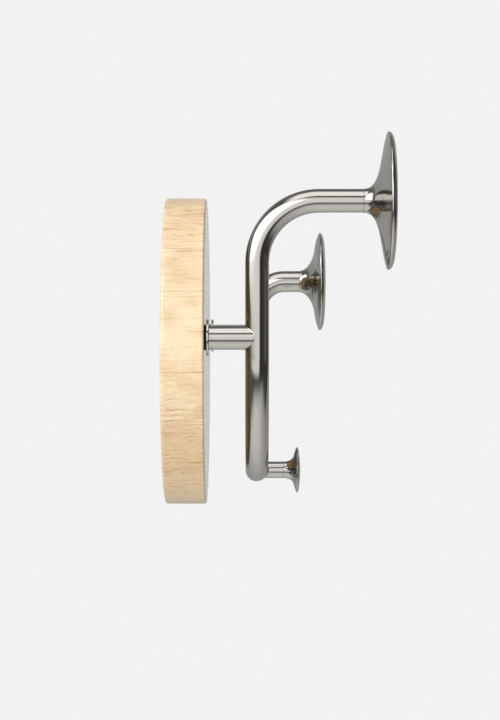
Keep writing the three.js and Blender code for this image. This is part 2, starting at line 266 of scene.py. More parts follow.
def upright(name: str, outline: np.ndarray, layers: list, x: float, z: float) -> Object:
    """A flat plate of an outline that stands upright.

    Each layer (share, depth) repeats the outline, drawn in towards its middle by 1 - share, at that depth.
    A middle point closes each end.

    Args:
        name: the piece's name.
        outline: (x, z) rows in mm about the middle.
        layers: (share, depth) pairs from the wall side to the room side.
        x: X of the outline's zero in mm.
        z: Z of the outline's zero in mm.

    Returns:
        The new object.
    """
    middle = (outline.max(0) + outline.min(0)) / 2
    rows = []
    for share, depth in [(0, layers[0][1]), *layers, (0, layers[-1][1])]:
        flat = middle + (outline - middle) * share
        rows.append(np.column_stack([flat[:, 0] + x, np.full(len(flat), -depth), flat[:, 1] + z]))
    return surface(name, np.array(rows))


def carve(piece: Object, cutters: list) -> Object:
    """Takes every cutter out of the piece with exact booleans, and removes the cutters.

    Args:
        piece: the object to cut.
        cutters: closed objects.

    Returns:
        The same object with its new mesh.
    """
    for cutter in cutters:
        modifier = piece.modifiers.new("cut", "BOOLEAN")
        modifier.operation = "DIFFERENCE"
        modifier.solver = "EXACT"
        modifier.object = cutter
    bpy.context.view_layer.update()
    evaluated = piece.evaluated_get(bpy.context.evaluated_depsgraph_get())
    mesh = bpy.data.meshes.new_from_object(evaluated)
    piece.modifiers.clear()
    piece.data = mesh
    mesh.name = piece.name
    for cutter in cutters:
        bpy.data.objects.remove(cutter)
    return smoothed(piece)


# Finishes


def linear(code: str) -> tuple:
    """The linear colour, with alpha 1, of an sRGB hex code such as "#ecd4ae"."""
    shares = [int(code[i : i + 2], 16) / 255 for i in (1, 3, 5)]
    return (*(s / 12.92 if s <= 0.04045 else ((s + 0.055) / 1.055) ** 2.4 for s in shares), 1.0)


def add(
    tree: NodeTree, kind: str, inputs: dict | None = None, stops: tuple = (), **settings: object
) -> NodeOutputs:
    """Adds a node with its settings and links.

    Args:
        tree: the node tree.
        kind: the node's type after "ShaderNode".
        inputs: for each input's name or number, a value, or an output socket to link.
        stops: (place, hex colour) pairs for a colour ramp.
        settings: attributes to set on the node.

    Returns:
        The new node's outputs.
    """
    node = tree.nodes.new("ShaderNode" + kind)
    for name, value in settings.items():
        setattr(node, name, value)
    for name, value in (inputs or {}).items():
        if isinstance(value, NodeSocket):
            tree.links.new(value, node.inputs[name])
        else:
            node.inputs[name].default_value = value
    for element, (place, code) in zip(node.color_ramp.elements if stops else (), stops):
        element.position = place
        element.color = linear(code)
    return node.outputs


def grain(tree: NodeTree, place: NodeSocket, size: tuple, **inputs: float) -> NodeSocket:
    """Noise of that size along X, Y and Z in the unit of the place, with the noise's further inputs."""
    spread = add(tree, "Mapping", {"Vector": place, "Scale": tuple(1 / length for length in size)})[0]
    return add(tree, "TexNoise", {"Vector": spread, "Scale": 1.0} | inputs)[0]


def new_material(name: str) -> Material:
    """Makes an empty node material.

    Args:
        name: the material's name.

    Returns:
        The material.
    """
    material = bpy.data.materials.new(name)
    material.use_nodes = True
    material.node_tree.nodes.clear()
    return material


@dataclass(frozen=True)
class LacqueredAsh:
    """Pale ash under two coats of clear satin lacquer.

    The growth rings lie flat across the disc, so its rim at the sides shows them as thin brown lines from
    back to front, and its faces show them as long level lines. The lines are strong towards the top and the
    bottom, with a plain band a little above the middle. Lower down the wood is painted browner, a painted
    shade that stands in for the light falling off below.
    Each layer is the size in mm of one noise along X, Y and Z, and its levels. Levels are the noise, distance
    or height that they run from and to, and the strength at each.
    """

    name: str = "lacquered_ash"
    ground: tuple = ((0.35, "#f3dcb7"), (0.65, "#e2c69c"))
    line: str = "#ad7a2a"
    sway_size: tuple = (170.0, 45.0, 40.0)
    sway_height: float = 6.0
    patch_size: tuple = (90.0, 25.0, 18.0)
    broad_detail: float = 1.0
    layers: tuple = (
        ((70.0, 6.0, 0.42), (0.46, 0.74, 0.0, 0.28)),
        ((120.0, 14.0, 0.7), (0.5, 0.72, 0.0, 0.24)),
        ((220.0, 75.0, 1.1), (0.6, 0.72, 0.0, 0.36)),
        ((260.0, 90.0, 9.0), (0.5, 0.75, 0.0, 0.1)),
    )
    streak_detail: float = 2.0
    streak_fineness: float = 0.6
    plain_height: float = 30.0
    plain_levels: tuple = (15.0, 75.0, 0.75, 1.65)
    # Painted shade: how much browner the wood is painted lower down, for the light falling off below.
    low_shade_levels: tuple = (-25.0, -85.0, -0.05, 0.4)
    pore_strength: float = 0.06
    pore_depth: float = 0.05
    roughness: float = 0.5
    lacquer_roughness: float = 0.16
    refraction: float = 1.5

    def material(self) -> Material:
        """Builds the material from Object coordinates in mm.

        Returns:
            The material.
        """
        material = new_material(self.name)
        tree = material.node_tree
        place = add(tree, "TexCoord")["Object"]
        mm = add(tree, "Mapping", {"Vector": place, "Scale": (1 / MM,) * 3})[0]
        broad = {"Detail": self.broad_detail}
        sway, patch = (grain(tree, mm, size, **broad) for size in (self.sway_size, self.patch_size))
        lift = {0: sway, 1: (0.0, 0.0, self.sway_height), 2: mm}
        bent = add(tree, "VectorMath", lift, operation="MULTIPLY_ADD")[0]
        dark = 0.0
        for size, levels in self.layers:
            streak = grain(tree, bent, size, Detail=self.streak_detail, Roughness=self.streak_fineness)
            reach = dict(zip(LEVELS, (streak, *levels)))
            share = add(tree, "MapRange", reach, interpolation_type="SMOOTHSTEP")[0]
            dark = add(tree, "Math", {0: dark, 1: share}, operation="ADD")[0]
        height = add(tree, "SeparateXYZ", {"Vector": mm})["Z"]
        above = add(tree, "Math", {0: height, 1: self.plain_height}, operation="SUBTRACT")[0]
        away = add(tree, "Math", {0: above}, operation="ABSOLUTE")[0]
        dense = add(tree, "MapRange", dict(zip(LEVELS, (away, *self.plain_levels))))[0]
        dark = add(tree, "Math", {0: dark, 1: dense}, operation="MULTIPLY", use_clamp=True)[0]
        # Painted shade: lower heights push the colour towards the browner stop, on top of the random brown
        # patches.
        low = add(tree, "MapRange", dict(zip(LEVELS, (height, *self.low_shade_levels))))[0]
        brown = add(tree, "Math", {0: patch, 1: low}, operation="ADD")[0]
        ground = add(tree, "ValToRGB", {"Fac": brown}, self.ground)["Color"]
        colours = {"Factor": dark, 6: ground, 7: linear(self.line)}
        pores = {"Strength": self.pore_strength, "Distance": self.pore_depth * MM, "Height": streak}
        body = {
            "Base Color": add(tree, "Mix", colours, data_type="RGBA")[2],
            "Roughness": self.roughness,
            "IOR": self.refraction,
            "Normal": add(tree, "Bump", pores)[0],
            "Coat Weight": 1.0,
            "Coat Roughness": self.lacquer_roughness,
            "Coat IOR": self.refraction,
        }
        add(tree, "OutputMaterial", {"Surface": add(tree, "BsdfPrincipled", body)[0]})
        return material


@dataclass(frozen=True)
class CloudedFinish:
    """A finish that varies with one cloudy noise.

    The shades and the roughness are one value, or two for the noise's low and high levels. The size is the
    noise's in mm, and the relief is the strength of its bumps.
    """

    name: str
    shades: tuple
    roughness: tuple
    size: float
    detail: float
    fineness: float = 0.5
    relief: float = 0.0
    relief_depth: float = 0.0
    metallic: float = 1.0
    refraction: float = 1.5
    noise_levels: tuple = (0.3, 0.7)

    def material(self) -> Material:
        """Builds the material from Object coordinates.

        Returns:
            The material.
        """
        material = new_material(self.name)
        tree = material.node_tree
        place = add(tree, "TexCoord")["Object"]
        cloud = grain(tree, place, (self.size * MM,) * 3, Detail=self.detail, Roughness=self.fineness)
        colour, roughness = linear(self.shades[0]), self.roughness[0]
        if self.shades[1:]:
            stops = tuple(zip(self.noise_levels, self.shades))
            colour = add(tree, "ValToRGB", {"Fac": cloud}, stops)["Color"]
        if self.roughness[1:]:
            levels = dict(zip(LEVELS, (cloud, *self.noise_levels, *self.roughness)))
            roughness = add(tree, "MapRange", levels)[0]
        body = {"Base Color": colour, "Roughness": roughness, "Metallic": self.metallic}
        body["IOR"] = self.refraction
        if self.relief:
            bumps = {"Strength": self.relief, "Distance": self.relief_depth * MM, "Height": cloud}
            body["Normal"] = add(tree, "Bump", bumps)[0]
        add(tree, "OutputMaterial", {"Surface": add(tree, "BsdfPrincipled", body)[0]})
        return material


FINISHES = {
    "wood": LacqueredAsh(),
    # Nickel plate, a warm grey metal, with a satin finish that blurs what it mirrors.
    "satin_metal": CloudedFinish("satin_nickel_plate", ("#c9c6c0",), (0.125, 0.135), size=6.0, detail=2.0),
    # Black rubber sheet: matt, with a faint grain.
    "black_rubber": CloudedFinish(
        "black_rubber_sheet", ("#393632", "#454139"), (0.75,), size=0.3, detail=3.0, relief=0.3,
        relief_depth=0.05, metallic=0.0, refraction=1.52
    ),
    # Bright zinc plate: bluish grey, with faint cloudy patches.
    "zinc_steel": CloudedFinish(
        "bright_zinc_plate", ("#a3a8ad", "#c3c7ca"), (0.38, 0.26), size=2.5, detail=4.0, fineness=0.6,
        relief=0.1, relief_depth=0.02
    ),
}


def dress(piece: Object, slot: str, node: str) -> None:
    """Gives the piece its finish, puts it on the body and lets it stand for its CAD node.

    Args:
        piece: the finished object.
        slot: the record's slot name, under which the finish is listed.
        node: the CAD node that it replaces.
    """
    finish = FINISHES[slot]
    piece.data.materials.clear()
    piece.data.materials.append(bpy.data.materials.get(finish.name) or finish.material())
    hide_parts(node)
    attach(piece, BODY)
    LOG.info("%s: %d faces, %s, stands for %s", piece.name, len(piece.data.polygons), slot, node)


# Sub-assemblies


@dataclass
class WoodBase:
    """The round solid base, with the hollows for bolts and keyhole plates in its back.

    The recess and the pocket of a plate are (width, bottom, top, corner radius), with the heights about the
    middle of the keyhole's entry.
    """

    radius: float = 108.0
    thickness: float = 28.7
    back_round: float = 2.0
    front_round: float = 1.5
    flat_inset: float = 0.3
    round_steps: int = 10
    sides: int = 384
    bolt_x: float = 84.4
    bolt_z: float = 10.2
    bolt_seat_radius: float = 6.3
    bolt_seat_depth: float = 9.0
    bolt_hole_radius: float = 3.3
    bolt_sides: int = 64
    plate_x: float = 50.0
    plate_z: float = 45.0
    recess: tuple = (18.6, -18.55, 28.05, 4.3)
    recess_depth: float = 2.1
    pocket: tuple = (12.0, -6.0, 19.0, 5.0)
    pocket_start: float = 0.5
    pocket_depth: float = 8.6
    screw_heights: tuple = (-12.75, 22.25)
    screw_hole_radius: float = 1.7
    screw_hole_depth: float = 12.6
    screw_sides: int = 32

    def profile(self) -> np.ndarray:
        """The disc's profile, with a ring of points just beside each round that keeps the flats flat.

        Returns:
            The (radius, depth) rows in mm.
        """
        back = self.radius - self.back_round
        front = self.radius - self.front_round
        front_depth = self.thickness - self.front_round
        inset = self.flat_inset
        return np.vstack(
            [
                [(0, 0), (back - inset, 0)],
                arc((back, self.back_round), self.back_round, -QUARTER, 0, self.round_steps),
                [(self.radius, self.back_round + inset), (self.radius, front_depth - inset)],
                arc((front, front_depth), self.front_round, 0, QUARTER, self.round_steps),
                [(front - inset, self.thickness), (0, self.thickness)],
            ]
        )

    def cutters(self, side: Side) -> list:
        """Makes the hollows on one side of the back, from the bolt's stepped hole to the screw holes.

        Args:
            side: the side of the middle plane.

        Returns:
            Closed objects to cut away.
        """
        label, x = side.label, side.value * self.bolt_x
        seat, hole = self.bolt_seat_radius, self.bolt_hole_radius
        step = [(0, -OVERRUN), (seat, -OVERRUN), (seat, self.bolt_seat_depth), (hole, self.bolt_seat_depth)]
        step += [(hole, self.thickness + OVERRUN), (0, self.thickness + OVERRUN)]
        drill = turned(label + "_drill", np.array(step), x, self.bolt_z, self.bolt_sides)
        x = side.value * self.plate_x
        hollows = [
            ("_recess", self.recess, -OVERRUN, self.recess_depth),
            ("_pocket", self.pocket, self.pocket_start, self.pocket_depth),
        ]
        milled = []
        for name, outline, start, depth in hollows:
            layers = [(1, start), (1, depth)]
            milled.append(upright(label + name, rounded_rectangle(*outline), layers, x, self.plate_z))
        screw = collar(0, self.screw_hole_radius, -OVERRUN, self.screw_hole_depth, 0, 0)
        heights = [self.plate_z + height for height in self.screw_heights]
        holes = [turned(label + "_screw_hole", screw, x, z, self.screw_sides) for z in heights]
        return [drill, *milled, *holes]

    def build(self) -> None:
        """Turns the disc, cuts its back and dresses it."""
        disc = turned("wood_base_turned", self.profile(), 0, 0, self.sides)
        carve(disc, [cutter for side in Side for cutter in self.cutters(side)])
        dress(disc, "wood", "wood_base")


@dataclass
class BentTube:
    """The hook frame: one round tube, from the large hook down the tall leg and up the short leg."""

    radius: float = 7.95
    wall: float = 1.5
    end_round: float = 0.1
    end_reach: float = 0.12
    leg_x: float = 84.4
    leg_depth: float = 64.0
    large_height: float = 101.5
    large_bend: float = 41.3
    large_reach: float = 70.6
    medium_height: float = 50.8
    medium_bend: float = 21.0
    medium_reach: float = 31.8
    sides: int = 96
    large_steps: int = 48
    lower_steps: int = 120
    medium_steps: int = 32

    def centre_line(self) -> tuple[np.ndarray, np.ndarray, np.ndarray]:
        """Stations along the tube.

        A bend's station at turn t is its centre plus its radius times (outward cos t + along sin t), and its
        tangent is along cos t - outward sin t. The first section axis is X in the upright bends, and the
        tangent crossed with the room's direction in the lower bend.

        Returns:
            Points, tangents and first section axes, one station a row.
        """
        axes = [(0, 1, 0), (0, -1, 0), (0, 0, 1), (0, 0, -1), (-1, 0, 0)]
        wall, room, up, down, left = np.array(axes, float)
        x, depth = self.leg_x, self.leg_depth
        large = np.array([-x, -(depth + self.large_bend), self.large_height - self.large_bend])
        lower = np.array([0, -depth, 0.0])
        medium = np.array([x, -(depth + self.medium_bend), self.medium_height - self.medium_bend])
        points = [np.array([[-x, -(depth + self.large_reach), self.large_height]])]
        tangents = [wall[None]]
        bends = [
            (large, up, wall, self.large_bend, QUARTER, self.large_steps),
            (lower, left, down, x, math.pi, self.lower_steps),
            (medium, wall, up, self.medium_bend, QUARTER, self.medium_steps),
        ]
        for centre, outward, along, bend, angle, steps in bends:
            turn = np.linspace(0, angle, steps + 1)[:, None]
            points.append(centre + bend * (outward * np.cos(turn) + along * np.sin(turn)))
            tangents.append(along * np.cos(turn) - outward * np.sin(turn))
        points.append(np.array([[x, -(depth + self.medium_reach), self.medium_height]]))
        tangents.append(room[None])
        line, tangent = np.vstack(points), np.vstack(tangents)
        first = np.cross(np.broadcast_to(room, tangent.shape), tangent)
        first[: self.large_steps + 2] = (1, 0, 0)
        first[-self.medium_steps - 2 :] = (-1, 0, 0)
        return line, tangent, first

    def grid(self) -> np.ndarray:
        """The tube's skin: its outside from end to end, the rounded end, and its bore back again.

        A point is the station's point plus the radius times (first cos u + second sin u), where second is
        the tangent crossed with first.

        Returns:
            rows x sides x 3 points in mm.
        """
        line, tangent, first = self.centre_line()
        second = np.cross(tangent, first)
        u = (np.arange(self.sides) / self.sides * 2 * math.pi)[None, :, None]
        spoke = first[:, None] * np.cos(u) + second[:, None] * np.sin(u)

        def rings(radius: float, rows: slice | list, shift: float = 0.0) -> np.ndarray:
            """Rings of one radius at the chosen stations, moved along the tube by the shift."""
            return (line[rows] + shift * tangent[rows])[:, None] + radius * spoke[rows]

        edge, over, bore = self.end_round, self.end_reach, self.radius - self.wall
        return np.vstack(
            [
                rings(self.radius - edge, [0], -over),
                rings(self.radius, [0], edge - over),
                rings(self.radius, slice(1, -1)),
                rings(self.radius, [-1], over - edge),
                rings(self.radius - edge, [-1], over),
                rings(bore, slice(None, None, -1)),
            ]
        )

    def build(self) -> None:
        """Sweeps the tube and dresses it."""
        dress(surface("hook_frame_bent", self.grid(), ring=True), "satin_metal", "hook_frame")


@dataclass
class Standoff:
    """One post with its flange and spacer, and the bolt and washer that hold it from the back."""

    side: Side
    x: float = 84.4
    z: float = 10.2
    radius: float = 8.15
    foot_edge: float = 0.2
    leg_radius: float = 7.95
    leg_depth: float = 64.0
    setback: float = 2.6
    weld: float = 0.9
    weld_sink: float = 0.35
    root_back: float = 5.0
    root_share: float = 0.3
    front_depth: float = 28.7
    spacer_radius: float = 8.35
    spacer_thickness: float = 1.55
    spacer_rounds: tuple = (0.5, 0.25)
    flange_radius: float = 12.1
    flange_thickness: float = 1.5
    flange_rounds: tuple = (0.12, 0.35)
    flange_steps: int = 6
    bore_radius: float = 3.3
    bore_depth: float = 17.5
    bolt_radius: float = 3.0
    bolt_length: float = 40.0
    tip_chamfer: float = 0.8
    head_radius: float = 5.0
    head_height: float = 6.0
    socket_width: float = 5.0
    socket_depth: float = 3.0
    washer_radius: float = 6.0
    washer_thickness: float = 1.6
    seat_depth: float = 9.0
    sides: int = 128
    bolt_sides: int = 72

    def post_grid(self) -> np.ndarray:
        """The post's skin, with a weld fillet that wraps the leg.

        A ball of the weld's radius rolls in the corner between post and leg. Round the post its centre lies
        at the post's radius plus the weld from the post's axis, and as far from the leg's middle line as the
        leg's radius plus the weld, but never nearer to the leg's middle than the setback.

        Returns:
            rows x sides x 3 points in mm.
        """
        foot = self.front_depth + self.spacer_thickness + self.flange_thickness
        spoke = spokes(self.sides)
        ball = (self.radius + self.weld) * spoke
        room = (self.leg_radius + self.weld) ** 2 - ball[:, 0] ** 2
        back = np.sqrt(np.maximum(room, self.setback**2))
        leg = np.column_stack([ball[:, 0], back, 0 * back])
        leg /= np.linalg.norm(leg, axis=1)[:, None]
        ball[:, 1] = back - self.leg_depth
        fillet = weld_fillet(ball, self.weld, spoke, leg)
        sunk = ball * (0, 0, 1) - (0, self.leg_depth, 0) + (self.leg_radius - self.weld_sink) * leg
        root = sunk * (self.root_share, 0, self.root_share) - (0, self.leg_depth - self.root_back, 0)
        middle = np.array([(0, -(self.leg_depth - self.root_back), 0)] * self.sides)
        bore_end, edge = foot + self.bore_depth, self.foot_edge
        start = [(0, bore_end), (self.bore_radius, bore_end), (self.bore_radius, foot)]
        start += [(self.radius - edge, foot), (self.radius, foot + edge)]
        shell = turned_grid(np.array(start), 0, 0, self.sides)
        rows = np.concatenate([shell, np.array([*fillet, sunk, root, middle])])
        return rows + np.array([self.side.value * self.x, 0, self.z])

    def build(self) -> None:
        """Builds the five pieces from the leg back to the wall side and dresses them."""
        label, x = self.side.label, self.side.value * self.x
        dress(surface(label + "_post_welded", self.post_grid()), "satin_metal", label + "_post")
        start, end = self.front_depth, self.front_depth + self.spacer_thickness
        spacer = collar(self.bore_radius, self.spacer_radius, start, end, *self.spacer_rounds)
        piece = turned(label + "_spacer_punched", spacer, x, self.z, self.sides)
        dress(piece, "black_rubber", label + "_spacer")
        start, end, steps = end, end + self.flange_thickness, self.flange_steps
        flange = collar(self.bore_radius, self.flange_radius, start, end, *self.flange_rounds, steps)
        piece = turned(label + "_flange_turned", flange, x, self.z, self.sides)
        dress(piece, "satin_metal", label + "_flange")
        self.build_bolt()

    def build_bolt(self) -> None:
        """Builds the socket-head bolt and its washer, and dresses them."""
        label, x = self.side.label, self.side.value * self.x
        seat, end, bore = self.seat_depth - self.washer_thickness, self.seat_depth, self.bore_radius
        head, tip = seat - self.head_height, seat + self.bolt_length
        corners = [
            (0, head, 0),
            (self.head_radius, head, 0.5),
            (self.head_radius, seat, 0.15),
            (self.bolt_radius, seat, 0.3),
            (self.bolt_radius, tip - self.tip_chamfer, 0.1),
            (self.bolt_radius - self.tip_chamfer, tip, 0.1),
            (0, tip, 0),
        ]
        bolt = turned(label + "_bolt_turned", softened(corners), x, self.z, self.bolt_sides)
        hexagon = arc((0, 0), self.socket_width / 2 / math.cos(math.pi / 6), 0, 2 * math.pi, 6)[:-1]
        layers = [(1, head - OVERRUN), (1, head + self.socket_depth)]
        socket = upright(label + "_socket", hexagon, layers, x, self.z)
        dress(carve(bolt, [socket]), "zinc_steel", label + "_bolt")
        middle = (bore, seat + self.washer_thickness / 2, 0)
        corners = [middle, (bore, seat, 0.15), (self.washer_radius, seat, 0.3)]
        corners += [(self.washer_radius, end, 0.15), (bore, end, 0.15), middle]
        washer = turned(label + "_bolt_washer_pressed", softened(corners)[:-1], x, self.z, self.bolt_sides)
        dress(washer, "zinc_steel", label + "_bolt_washer")


@dataclass
class TrumpetKnob:
    """A trumpet knob: a neck that flares along a curve to a thin rounded rim, and a shallow dome in front.

    The lip is how far the rim's front round reaches in from the greatest radius.
    """

    size: str
    x: float
    z: float
    depth: float
    neck: float
    radius: float
    length: float
    dome: float
    lip: float
    handles: tuple
    bore_radius: float
    bore_depth: float
    neck_round: float = 0.1
    neck_reach: float = 0.12
    flare_steps: int = 64
    back_steps: int = 14
    lip_steps: int = 24
    lip_share: float = 0.97
    dome_steps: int = 12
    sides: int = 256

    def profile(self) -> np.ndarray:
        """The knob's profile.

        The flare is a Bezier curve of (depth, radius) handles. A round arc carries its end's slope on to the
        greatest radius, most of a quarter of an ellipse carries that over the lip to the front, and the dome
        falls off with the square of the radius.

        Returns:
            The (radius, depth) rows in mm.
        """
        flare = bezier(np.array(self.handles, float), self.flare_steps)[:, ::-1]
        flare[:, 0] += self.neck
        run = flare[-1] - flare[-2]
        slope = math.atan2(run[0], run[1])
        back_round = (self.radius - flare[-1, 0]) / (1 - math.cos(slope))
        crest = flare[-1, 1] + back_round * math.sin(slope)
        back = arc((self.radius - back_round, crest), back_round, -slope, 0, self.back_steps)[1:]
        lip = arc((0, 0), 1.0, 0, QUARTER * self.lip_share, self.lip_steps)[1:]
        lip = (self.radius - self.lip, crest) + lip * (self.lip, self.length - self.dome - crest)
        share = np.linspace(1, 0, self.dome_steps + 1)[1:, None]
        edge, depth = lip[-1]
        dome = np.hstack([edge * share, depth + (self.length - depth) * (1 - share**2)])
        skin = np.vstack([flare[1:], back, lip, dome])
        skin[:, 1] += self.depth
        bore_end, foot = self.depth + self.bore_depth, self.depth - self.neck_reach
        root = [(0, bore_end), (self.bore_radius, bore_end), (self.bore_radius, foot)]
        root += [(self.neck - self.neck_round, foot), (self.neck, foot + self.neck_round)]
        return np.vstack([root, skin])

    def build(self) -> None:
        """Turns the knob and dresses it."""
        knob = turned(self.size + "_knob_turned", self.profile(), self.x, self.z, self.sides)
        dress(knob, "satin_metal", self.size + "_knob")


@dataclass
class HiddenFixing:
    """A turned piece inside the tube or a knob: a plug or a threaded stud."""

    node: str
    x: float
    z: float
    start: float
    length: float
    radius: float
    bore: float = 0.0
    edge: float = 0.5
    sides: int = 64

    def build(self) -> None:
        """Turns the piece with softened edges and dresses it."""
        profile = collar(self.bore, self.radius, self.start, self.start + self.length, self.edge, self.edge)
        dress(turned(self.node + "_turned", profile, self.x, self.z, self.sides), "zinc_steel", self.node)


@dataclass
class SmallHookRod:
    """The straight rod that carries the small knob, welded to the lower bend."""

    radius: float = 5.9
    bend: float = 84.4
    tube_radius: float = 7.95
    tube_depth: float = 64.0
    reach: float = 18.6
    end_reach: float = 0.12
    end_round: float = 0.1
    weld: float = 0.8
    weld_sink: float = 0.35
    root_reach: float = 4.0
    bore_radius: float = 2.3
    bore_depth: float = 7.3
    sides: int = 96

    def grid(self) -> np.ndarray:
        """The rod's skin, with a weld fillet onto the bend.

        As on a post, a ball rolls in the corner. Its centre lies at the rod's radius plus the weld from the
        rod's axis, and at the tube's radius plus the weld from the bend's middle circle.

        Returns:
            rows x sides x 3 points in mm.
        """
        spoke = spokes(self.sides)
        ball = (self.radius + self.weld) * spoke - (0, 0, self.bend)
        from_middle = np.linalg.norm(ball, axis=1)
        off = from_middle - self.bend
        forward = np.sqrt((self.tube_radius + self.weld) ** 2 - off**2)
        radial = ball / from_middle[:, None]
        out = radial * off[:, None]
        out[:, 1] = -forward
        out /= np.linalg.norm(out, axis=1)[:, None]
        ball[:, 1] = -(self.tube_depth + forward)
        fillet = weld_fillet(ball, self.weld, spoke, out)
        circle = radial * self.bend - (0, self.tube_depth, 0)
        sunk = circle + (self.tube_radius - self.weld_sink) * out
        pole = np.array([(0, -(self.tube_depth + self.root_reach), -self.bend)] * self.sides)
        end, bore = self.tube_depth + self.reach + self.end_reach, self.bore_radius
        far = [(self.radius, end - self.end_round), (self.radius - self.end_round, end)]
        far += [(bore, end), (bore, end - self.bore_depth), (0, end - self.bore_depth)]
        shell = turned_grid(np.array(far), 0, -self.bend, self.sides)
        return np.concatenate([np.array([pole, sunk, *fillet[::-1]]), shell])

    def build(self) -> None:
        """Sweeps the rod and dresses it."""
        dress(surface("small_hook_rod_welded", self.grid()), "satin_metal", "small_hook_rod")


@dataclass
class KeyholeHanger:
    """One pressed keyhole plate with its two countersunk screws.

    An edge layer is (share of the outline, rise from the plate's back).
    """

    side: Side
    x: float = 50.0
    z: float = 45.0
    outline: tuple = (18.0, -18.25, 27.75, 4.0)
    edge_layers: tuple = ((0.975, 0.0), (0.995, 0.08), (1.0, 0.25))
    start: float = 0.3
    thickness: float = 1.8
    entry_radius: float = 5.0
    slot_radius: float = 2.5
    slot_rise: float = 14.0
    slot_steps: int = 16
    entry_steps: int = 40
    screw_heights: tuple = (-12.75, 22.25)
    head_radius: float = 2.9
    head_height: float = 1.6
    screw_radius: float = 1.4
    screw_length: float = 12.0
    tip_length: float = 2.5
    cross_long: float = 3.2
    cross_short: float = 0.62
    cross_layers: tuple = ((1.0, -0.5), (0.55, 1.1))
    clearance: float = 0.3
    screw_sides: int = 48

    def keyhole(self, x: float) -> Object:
        """Makes the keyhole's cutter: a round entry, and a narrower slot that rises from it.

        Args:
            x: the plate's X in mm.

        Returns:
            A closed object.
        """
        mouth = math.asin(self.slot_radius / self.entry_radius)
        slot = arc((0, self.slot_rise), self.slot_radius, 0, math.pi, self.slot_steps)
        start, end = QUARTER + mouth, 2 * math.pi + QUARTER - mouth
        hole = np.vstack([slot, arc((0, 0), self.entry_radius, start, end, self.entry_steps)])
        row = np.column_stack([x + hole[:, 0], 0 * hole[:, 0], self.z + hole[:, 1]])
        middle = np.array([(x, 0, self.z + self.slot_rise / 2)] * len(row))
        near, far = (0, OVERRUN, 0), (0, self.start + self.thickness + OVERRUN, 0)
        rows = np.array([middle + near, row + near, row - far, middle - far])
        return surface(self.side.label + "_keyhole", rows)

    def countersink(self, x: float, z: float) -> Object:
        """Makes the cutter of one screw's conical hole.

        Args:
            x: the screw's X in mm.
            z: the screw's Z in mm.

        Returns:
            A closed object.
        """
        head, shank = self.head_radius + self.clearance, self.screw_radius + self.clearance
        over = self.start + self.thickness + OVERRUN
        profile = [(0, -OVERRUN), (head, -OVERRUN), (head, self.start)]
        profile += [(shank, self.start + self.head_height), (shank, over), (0, over)]
        return turned(self.side.label + "_countersink", np.array(profile), x, z, self.screw_sides)

    def build(self) -> None:
        """Builds the plate and its two screws, and dresses them."""
        label, x = self.side.label, self.side.value * self.x
        layers = [(share, self.start + rise) for share, rise in (*self.edge_layers, (1, self.thickness))]
        plate = upright(label + "_keyhole_plate_pressed", rounded_rectangle(*self.outline), layers, x, self.z)
        heights = [self.z + height for height in self.screw_heights]
        carve(plate, [self.keyhole(x), *(self.countersink(x, z) for z in heights)])
        dress(plate, "zinc_steel", label + "_keyhole_plate")
        for name, z in zip(("lower", "upper"), heights):
            self.build_screw(f"{label}_plate_screw_{name}", x, z)

    def build_screw(self, node: str, x: float, z: float) -> None:
        """Builds one countersunk screw with a cross recess.

        Args:
            node: the screw's CAD node.
            x: its X in mm.
            z: its Z in mm.
        """
        start, tip = self.start, self.start + self.screw_length
        corners = [
            (0, start, 0),
            (self.head_radius, start, 0.12),
            (self.screw_radius, start + self.head_height, 0.4),
            (self.screw_radius, tip - self.tip_length, 0.3),
            (0, tip, 0),
        ]
        screw = turned(node + "_turned", softened(corners), x, z, self.screw_sides)
        layers = [(share, start + rise) for share, rise in self.cross_layers]
        bars = {"across": (self.cross_long, self.cross_short), "upright": (self.cross_short, self.cross_long)}
        cross = []
        for name, (wide, tall) in bars.items():
            bar = np.array([(wide, tall), (-wide, tall), (-wide, -tall), (wide, -tall)]) / 2
            cross.append(upright(f"{node}_{name}", bar, layers, x, z))
        dress(carve(screw, cross), "zinc_steel", node)


# Studio

UP, DOWN, ROOM, WALL, NEAR, FAR = (1, 0, 0), (-1, 0, 0), (0, 1, 0), (0, -1, 0), (0, 0, 1), (0, 0, -1)
FLOOR_SIDES = (((0.3, 1, 0), 36.5, 10), ((0.8, -1, 0), -2, 14))
KEY_SIDES = (((0.1, -1, 0), 78, 9), ((0.75, 1, 0), 18, 5), ((-1, 0.34, 0), -17, 16), ((1, -1.2, 0), 171, 45))


@dataclass(frozen=True)
class Softbox:
    """A soft-edged patch of light in the surroundings.

    A direction's roll runs from the camera's direction over the top, and its side runs from there towards the
    room. Both are in degrees. Each edge is (weights, limit, soft): the patch lies where the product of the
    weights with (roll, side, size of roll) is under the limit, and fades out over soft degrees on both sides.
    """

    name: str
    brightness: float
    edges: tuple


@dataclass(frozen=True)
class FillLamp:
    """A lamp that lights the hook without showing in the metal.

    It is a disc of that size in metres, or with a cone a beam from one, which fades out to its edge. The cone
    is the beam's full angle in degrees.
    """

    name: str
    place: tuple
    size: float
    watts: float
    cone: float = 0.0


